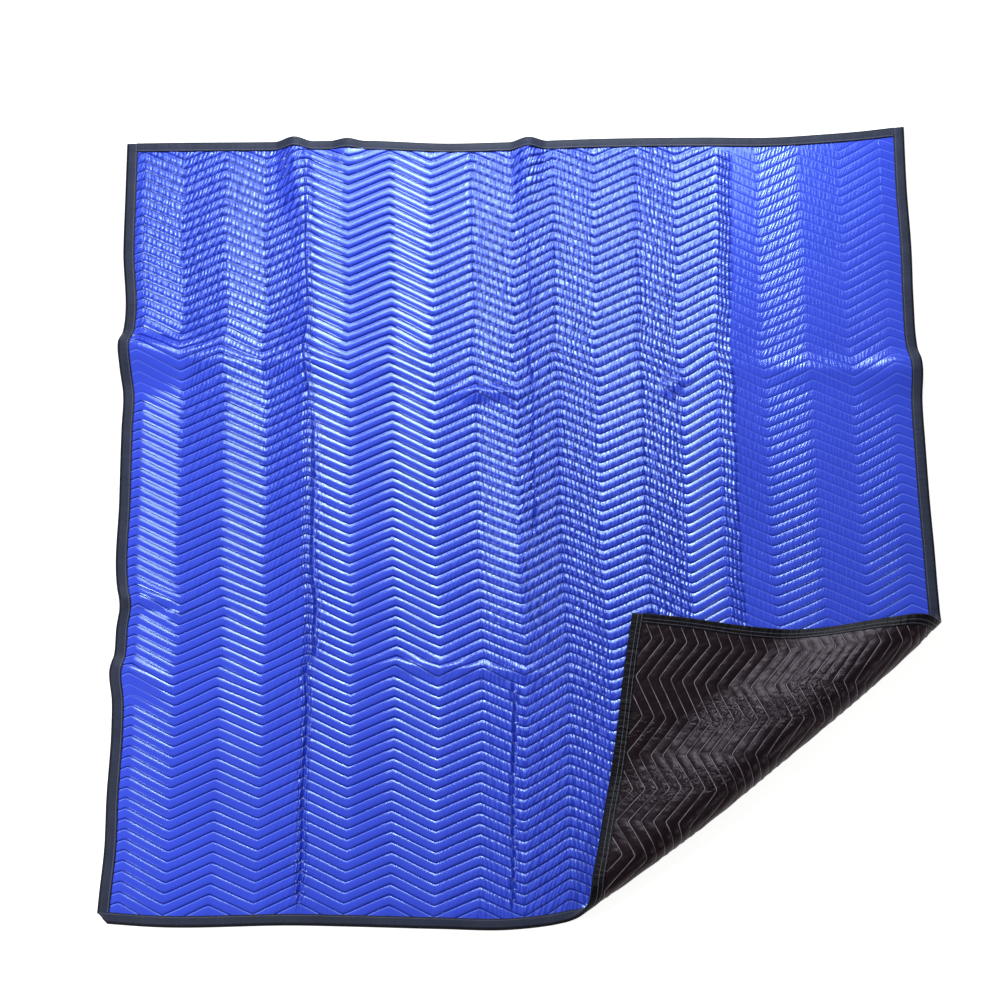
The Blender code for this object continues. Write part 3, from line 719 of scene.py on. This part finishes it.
class Shading:
    """A material's nodes, added one at a time."""

    def __init__(self, name):
        self.material = bpy.data.materials.new(name)
        self.material.use_nodes = True
        self.tree = self.material.node_tree
        self.shader = self.tree.nodes["Principled BSDF"]

    def put(self, socket, value):
        """Links a socket to another, or sets it."""
        if isinstance(value, bpy.types.NodeSocket):
            self.tree.links.new(value, socket)
        else:
            socket.default_value = value

    def node(self, kind, inputs=(), **settings):
        """A new node with these settings and inputs."""
        made = self.tree.nodes.new(kind)
        for name, value in settings.items():
            setattr(made, name, value)
        for name, value in dict(inputs).items():
            self.put(made.inputs[name], value)
        return made

    def maths(self, operation, *values):
        made = self.node("ShaderNodeMath", operation=operation)
        for socket, value in zip(made.inputs, values):
            self.put(socket, value)
        return made.outputs[0]

    def add(self, first, second):
        return self.maths("ADD", first, second)

    def take(self, first, second):
        """The first value less the second."""
        return self.maths("SUBTRACT", first, second)

    def times(self, first, *others):
        """The product of two or more values."""
        for other in others:
            first = self.maths("MULTIPLY", first, other)
        return first

    def larger(self, first, second):
        return self.maths("MAXIMUM", first, second)

    def between(self, value, low, high, out_low=0.0, out_high=1.0):
        """Eases from one value to another while the first goes from low to high."""
        made = self.node("ShaderNodeMapRange", interpolation_type="SMOOTHSTEP")
        for socket, given in zip(made.inputs, (value, low, high, out_low, out_high)):
            self.put(socket, given)
        return made.outputs[0]

    def blend(self, factor, first, second):
        made = self.node("ShaderNodeMix", data_type="RGBA")
        self.put(made.inputs[0], factor)
        self.put(made.inputs[6], first)
        self.put(made.inputs[7], second)
        return made.outputs[2]

    def noise(self, x, y, scale, detail=2.0, roughness=0.5):
        place = self.node("ShaderNodeCombineXYZ", {0: x, 1: y, 2: 0.0}).outputs[0]
        inputs = {"Vector": place, "Scale": scale, "Detail": detail, "Roughness": roughness}
        return self.node("ShaderNodeTexNoise", inputs).outputs[0]

    def mark(self, name):
        """A named value of the mesh's points."""
        return self.node("ShaderNodeAttribute", attribute_name=name).outputs["Fac"]

    def cloth_place(self):
        """u and v of the cloth, in metres."""
        uv = self.node("ShaderNodeUVMap", uv_map="cloth").outputs[0]
        parts = self.node("ShaderNodeSeparateXYZ", {0: uv}).outputs
        return parts[0], parts[1]

    def bump(self, height):
        """A normal from a height in millimetres."""
        inputs = {"Height": height, "Distance": 1.0 * MM, "Strength": 1.0}
        return self.node("ShaderNodeBump", inputs).outputs[0]

    def finish(self, **values):
        """The material, with these inputs of its shader."""
        for name, value in values.items():
            self.put(self.shader.inputs[name.replace("_", " ")], value)
        return self.material


def rgb(red, green, blue):
    return (red, green, blue, 1.0)


# Colours of the face: its tone from dark to light, the painted highlights on the crests of puckers and
# on the rows' upper shoulders, and the painted shade in the gaps between puckers and rows
FACE_DARK = rgb(0.036, 0.069, 0.64)
FACE_LIGHT = rgb(0.053, 0.093, 0.78)
FACE_CREST_HIGHLIGHT = rgb(0.11, 0.17, 0.85)
FACE_SHOULDER_HIGHLIGHT = rgb(0.15, 0.23, 0.95)
FACE_PAINTED_SHADE = rgb(0.0002, 0.010, 0.32)
# Its thread, between stitches and along them
THREAD_DARK = rgb(0.004, 0.012, 0.20)
THREAD_LIGHT = rgb(0.05, 0.10, 0.62)
# Colours of the back and the thread that shows on it
BACK_DARK = rgb(0.001, 0.0003, 0.0006)
BACK_LIGHT = rgb(0.012, 0.004, 0.006)
BACK_THREAD = rgb(0.36, 0.33, 0.38)
# Colours of the tapes: the front from dark to light, the back, the painted shade along the edges and
# the thread
TAPE_DARK = rgb(0.018, 0.022, 0.042)
TAPE_LIGHT = rgb(0.044, 0.052, 0.086)
TAPE_UNDER = rgb(0.002, 0.001, 0.002)
TAPE_SHADED = rgb(0.002, 0.002, 0.004)
TAPE_THREAD = rgb(0.20, 0.19, 0.27)

# Puckers: width of each, how far it leans up a row, and how far it wanders
PUCKER_WIDTH = 9 * MM
PUCKER_LEAN = 9 * MM
PUCKER_DRIFT = 8 * MM
# Threads of the face's weave in a metre
WEAVE_THREADS = 900.0
# Length of a stitch and of the space after it, on the face and on the tapes
FACE_STITCH = 1.7 * MM
TAPE_STITCH = 2.0 * MM
# Distance in from the cut edge of each tape's stitching, on both sides and on the back alone, and
# the width of its ribs
TAPE_SEAM = 20.5 * MM
TAPE_BACK_SEAM = 12.0 * MM
TAPE_RIB = 1.1 * MM


def zigzag_angle(shading, u):
    """The angle whose cosine is 1 at the zigzag's peaks and -1 at its valleys."""
    return shading.times(shading.take(u, FIRST_PEAK), math.pi / ZIGZAG_RUN)


def quilt_rows(shading, u, v):
    """The row that a point is in, how far up it the point is, and its distance to a stitch line."""
    cosine = shading.maths("COSINE", zigzag_angle(shading, u))
    turn = shading.maths("ARCCOSINE", shading.times(cosine, ZIGZAG_SHARPNESS))
    fallen = shading.times(turn, -ZIGZAG_HEIGHT / math.pi)
    row = shading.maths("DIVIDE", shading.take(shading.take(v, fallen), ZIGZAG_HEIGHT), ROW_PITCH)
    share = shading.maths("FRACT", row)
    number = shading.maths("FLOOR", row)
    near = shading.times(shading.maths("PINGPONG", share, 0.5), ROW_PITCH)
    return number, share, near


def pucker_gap(shading, u, v, number, share):
    """Distance from the crest of the nearest pucker, in widths of a pucker."""
    # Puckers stand across each row, side by side, lean in the rising runs, where the sine is
    # negative, and start afresh in the next row
    sine = shading.maths("SINE", zigzag_angle(shading, u))
    lean = shading.between(sine, -0.05, 0.05, PUCKER_LEAN, 0.0)
    drift = shading.take(shading.noise(u, v, 45.0, 1.0), 0.5)
    place = shading.take(u, shading.times(share, lean))
    place = shading.add(place, shading.times(drift, PUCKER_DRIFT))
    place = shading.maths("DIVIDE", place, PUCKER_WIDTH)
    place = shading.add(place, shading.times(number, 17.3))
    inputs = {"W": place, "Scale": 1.0, "Randomness": 0.85}
    cells = shading.node("ShaderNodeTexVoronoi", inputs, feature="F1", voronoi_dimensions="1D")
    return cells.outputs["Distance"]


def face_height(shading, u, v, number, share, gap):
    """Height of the face's puckers, grain and weave, in millimetres."""
    pillow = shading.maths("COSINE", shading.times(gap, 2 * math.pi))
    fine = shading.noise(u, shading.add(v, shading.times(number, 0.31)), 150.0)
    pillow = shading.add(pillow, shading.times(shading.take(fine, 0.5), 0.5))
    puff = shading.maths("SQRT", shading.maths("SINE", shading.times(share, math.pi)))
    wrinkle = shading.times(pillow, shading.mark("pucker"), puff, 0.55)
    grain = shading.times(shading.noise(u, v, 320.0, 3.0, 0.6), 0.09)
    warp = shading.maths("SINE", shading.times(u, WEAVE_THREADS * 2 * math.pi))
    weft = shading.maths("SINE", shading.times(v, WEAVE_THREADS * 2 * math.pi))
    return shading.add(shading.add(wrinkle, grain), shading.times(warp, weft, 0.006))


def face_colour(shading, u, v, share, near, gap):
    """Colour of the face: painted highlights make it paler along its crests and shoulders, and painted
    shade makes it darker in its gaps.
    """
    pucker = shading.mark("pucker")
    stand = shading.mark("fullness")
    colour = shading.blend(shading.noise(u, v, 5.0, 3.0, 0.55), FACE_DARK, FACE_LIGHT)
    # Painted highlight: the puckers' crests are paler where the rows stand full
    crest_highlight = shading.times(shading.between(gap, 0.08, 0.26, 1.0, 0.0), pucker)
    crest_highlight = shading.times(crest_highlight, shading.between(stand, 0.6, 1.0, 0.0, 0.40))
    colour = shading.blend(crest_highlight, colour, FACE_CREST_HIGHLIGHT)
    # Painted highlight: each row is paler along its upper shoulder, where it would catch the light,
    # most of all where it is smooth
    shoulder_highlight = shading.between(share, 0.80, 0.88)
    shoulder_highlight = shading.times(shoulder_highlight, shading.between(pucker, 0.2, 1.0, 0.85, 0.30))
    shoulder_highlight = shading.times(shoulder_highlight, shading.between(stand, 0.2, 0.8, 0.35, 1.0))
    colour = shading.blend(shoulder_highlight, colour, FACE_SHOULDER_HIGHLIGHT)
    # Painted shade: it is darker between puckers, along the stitching and above it, and in the troughs
    # and between pleats
    pucker_gap_shade = shading.times(shading.between(gap, 0.22, 0.42), pucker)
    pucker_gap_shade = shading.times(pucker_gap_shade, shading.between(stand, 0.6, 1.0))
    seam_shade = shading.between(near, 0.4 * MM, 1.4 * MM, 1.0, 0.0)
    seam_shade = shading.larger(seam_shade, shading.between(share, 0.05, 0.12, 1.0, 0.0))
    seam_shade = shading.times(seam_shade, shading.between(pucker, 0.1, 0.9, 0.85, 0.7))
    seam_shade = shading.times(seam_shade, shading.between(stand, 0.3, 1.0, 0.15, 1.0))
    shaded = shading.larger(shading.times(pucker_gap_shade, 0.85), seam_shade)
    shaded = shading.larger(shaded, shading.times(shading.mark("trough"), 0.9))
    return shading.blend(shaded, colour, FACE_PAINTED_SHADE)


def face_material():
    shading = Shading("face cloth")
    u, v = shading.cloth_place()
    number, share, near = quilt_rows(shading, u, v)
    gap = pucker_gap(shading, u, v, number, share)
    return shading.finish(
        Base_Color=face_colour(shading, u, v, share, near, gap),
        Normal=shading.bump(face_height(shading, u, v, number, share, gap)), Roughness=0.20,
        Specular_IOR_Level=0.6, Specular_Tint=rgb(0.58, 0.82, 1.0),
        Sheen_Weight=0.02, Sheen_Roughness=0.4, Sheen_Tint=rgb(0.55, 0.65, 1.0),
    )


def thread_material():
    shading = Shading("blue thread")
    u, _ = shading.cloth_place()
    stitch = shading.between(shading.maths("PINGPONG", u, FACE_STITCH), 0.2 * MM, 0.7 * MM)
    return shading.finish(
        Base_Color=shading.blend(stitch, THREAD_DARK, THREAD_LIGHT),
        Normal=shading.bump(shading.times(stitch, 0.3)), Roughness=0.22,
        Specular_IOR_Level=0.9, Specular_Tint=rgb(0.80, 0.92, 1.0),
        Coat_Weight=0.6, Coat_Roughness=0.15,
    )


def back_material():
    shading = Shading("back cloth")
    u, v = shading.cloth_place()
    _, _, near = quilt_rows(shading, u, v)
    colour = shading.blend(shading.noise(u, v, 5.0, 3.0, 0.6), BACK_DARK, BACK_LIGHT)
    stitched = shading.between(near, 0.4 * MM, 0.9 * MM, 1.0, 0.0)
    shown = shading.between(shading.noise(u, v, 22.0), 0.35, 0.6, 0.25, 0.85)
    colour = shading.blend(shading.times(stitched, shown), colour, BACK_THREAD)
    groove = shading.between(near, 0.0, 2.5 * MM)
    grain = shading.noise(u, v, 400.0, 3.0, 0.6)
    # Crumples fold the cloth sharply along winding lines
    winding = shading.noise(u, v, 42.0, 3.0, 0.55)
    fold = shading.maths("ABSOLUTE", shading.take(winding, 0.5))
    fold = shading.times(shading.between(fold, 0.0, 0.13), shading.mark("crumple"))
    slack = shading.noise(u, v, 28.0)
    height = shading.add(groove, shading.times(grain, 0.2))
    height = shading.add(height, shading.times(fold, 2.2))
    height = shading.add(height, shading.times(slack, 4.0))
    return shading.finish(
        Base_Color=colour, Normal=shading.bump(height), Roughness=0.40,
        Specular_IOR_Level=0.22, Specular_Tint=rgb(1.0, 0.76, 0.90),
        Sheen_Weight=0.03, Sheen_Roughness=0.5, Sheen_Tint=rgb(0.8, 0.6, 0.75),
    )


def stitch_line(shading, depth, place):
    """1 along a line of stitching at a distance in from the cut edge, and 0 beside it."""
    aside = shading.maths("ABSOLUTE", shading.take(depth, place))
    return shading.between(aside, 0.4 * MM, 0.8 * MM, 1.0, 0.0)


def tape_material():
    shading = Shading("edge tape")
    along, inward = shading.cloth_place()
    depth = shading.maths("ABSOLUTE", inward)
    back = shading.between(inward, -1.0 * MM, 0.0, 1.0, 0.0)
    colour = shading.blend(shading.noise(along, inward, 14.0, 3.0, 0.6), TAPE_DARK, TAPE_LIGHT)
    colour = shading.blend(back, colour, TAPE_UNDER)
    # Painted shade along the tape's outer and inner edges
    outer_edge_shade = shading.between(depth, 2.0 * MM, 5.0 * MM, 0.8, 0.0)
    inner_edge_shade = shading.between(depth, 22.5 * MM, 24.0 * MM, 0.0, 0.9)
    colour = shading.blend(shading.larger(outer_edge_shade, inner_edge_shade), colour, TAPE_SHADED)
    stitched = shading.times(stitch_line(shading, depth, TAPE_BACK_SEAM), back)
    stitched = shading.larger(stitch_line(shading, depth, TAPE_SEAM), stitched)
    stitch = shading.between(shading.maths("PINGPONG", along, TAPE_STITCH), 0.4 * MM, 0.7 * MM)
    colour = shading.blend(shading.times(stitched, stitch, 0.6), colour, TAPE_THREAD)
    grain = shading.times(shading.noise(along, inward, 500.0, 3.0, 0.6), 0.3)
    ribs = shading.times(shading.maths("SINE", shading.times(along, 2 * math.pi / TAPE_RIB)), 0.04)
    puckers = shading.noise(along, shading.times(inward, 0.2), 90.0)
    puckers = shading.times(puckers, shading.between(back, 0.0, 1.0, 1.2, 4.0))
    height = shading.add(shading.add(grain, ribs), puckers)
    return shading.finish(
        Base_Color=colour, Normal=shading.bump(height), Roughness=0.45, Specular_IOR_Level=0.12,
        Sheen_Weight=0.02, Sheen_Roughness=0.5, Sheen_Tint=rgb(0.75, 0.7, 0.9),
    )


# ---------------------------------------------------------------- the pieces


def dress(piece, node, material):
    """Gives a piece its material, sets it to ride on the root, and hides the part that it replaces."""
    piece.data.materials.append(material)
    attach(piece, "root")
    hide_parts(node)


face_piece = make_face()
back_piece = make_back()
dress(face_piece, "face_panel", face_material())
dress(back_piece, "back_panel", back_material())

stitching_piece = make_stitching()
dress(stitching_piece, "face_panel", thread_material())

# How far in from the corners tapes start, and how far past them the side tapes end
TAPE_START = 22 * MM
TAPE_OVERRUN = 1 * MM
# Tapes: name, edge, start and end along it, and which of its ends are drawn shut
TAPES = (
    ("bottom", 0, 0.0, WIDTH, (True, True)),
    ("right", 1, TAPE_START, HEIGHT + TAPE_OVERRUN, (False, True)),
    ("top", 2, TAPE_START, WIDTH - TAPE_START, (False, False)),
    ("left", 3, TAPE_START, HEIGHT + TAPE_OVERRUN, (False, True)),
)
tape_finish = tape_material()
for name, side, start, end, closed_ends in TAPES:
    piece = make_tape(f"tape_{name}", side, start, end, closed_ends)
    dress(piece, f"binding_{name}", tape_finish)

# ---------------------------------------------------------------- floor, lights and camera


# Lights: name, place, where each points, width and height, power and colour
LIGHTS = (
    ("sheen light", (-0.06, 1.95, 1.05), (-0.06, 0.4, 0), (1.35, 0.8), 34, (0.85, 0.93, 1.0)),
    ("far light", (0.08, 2.35, 1.1), (0.1, 0, 0), (0.42, 0.4), 18, (0.9, 0.96, 1.0)),
    ("left light", (-2.6, -1.0, 2.2), (0, -0.3, 0), (0.8, 0.8), 80, (1, 1, 1)),
    ("right light", (2.6, -1.2, 2.2), (0, -0.3, 0), (0.8, 0.8), 17, (1, 1, 1)),
)

# The camera: where it points on the floor, its distance from there, its angle above the floor, and
# the focal length over the sensor's width
CAMERA_AIM = (-0.0512, 0.0271)
CAMERA_DISTANCE = 11.0
CAMERA_ELEVATION = math.radians(60)
CAMERA_ZOOM = 4.9368
SENSOR_WIDTH = 36


def make_floor():
    """A pale floor that glows a little, just below the blanket."""
    bpy.ops.mesh.primitive_plane_add(size=60, location=(0, 0, -0.2 * MM))
    floor = bpy.context.object
    floor.name = "floor"
    material = Shading("floor").finish(
        Base_Color=rgb(0.6, 0.6, 0.59), Roughness=0.9,
        Emission_Color=rgb(1, 1, 0.98), Emission_Strength=0.85,
    )
    floor.data.materials.append(material)


def make_light(name, place, target, size, power, colour):
    data = bpy.data.lights.new(name, "AREA")
    data.shape = "RECTANGLE"
    data.size, data.size_y = size
    data.energy = power
    data.color = colour
    light = bpy.data.objects.new(name, data)
    light.location = place
    light.rotation_euler = (Vector(target) - Vector(place)).to_track_quat("-Z", "Y").to_euler()
    bpy.context.scene.collection.objects.link(light)


def make_camera():
    data = bpy.data.cameras.new("camera")
    data.sensor_width = SENSOR_WIDTH
    data.lens = SENSOR_WIDTH * CAMERA_ZOOM
    data.clip_end = 100
    camera = bpy.data.objects.new("camera", data)
    back = CAMERA_DISTANCE * math.cos(CAMERA_ELEVATION)
    up = CAMERA_DISTANCE * math.sin(CAMERA_ELEVATION)
    camera.location = (CAMERA_AIM[0], CAMERA_AIM[1] - back, up)
    camera.rotation_euler = (math.pi / 2 - CAMERA_ELEVATION, 0, 0)
    bpy.context.scene.collection.objects.link(camera)
    bpy.context.scene.camera = camera


def make_world():
    """Faint light from all around."""
    world = bpy.data.worlds.new("studio")
    world.use_nodes = True
    background = world.node_tree.nodes["Background"].inputs
    background["Color"].default_value = (0.85, 0.92, 1.0, 1)
    background["Strength"].default_value = 0.16
    bpy.context.scene.world = world


make_floor()
for name, place, target, size, power, colour in LIGHTS:
    make_light(name, place, target, size, power, colour)
make_camera()
make_world()
bpy.context.scene.view_settings.view_transform = "Standard"
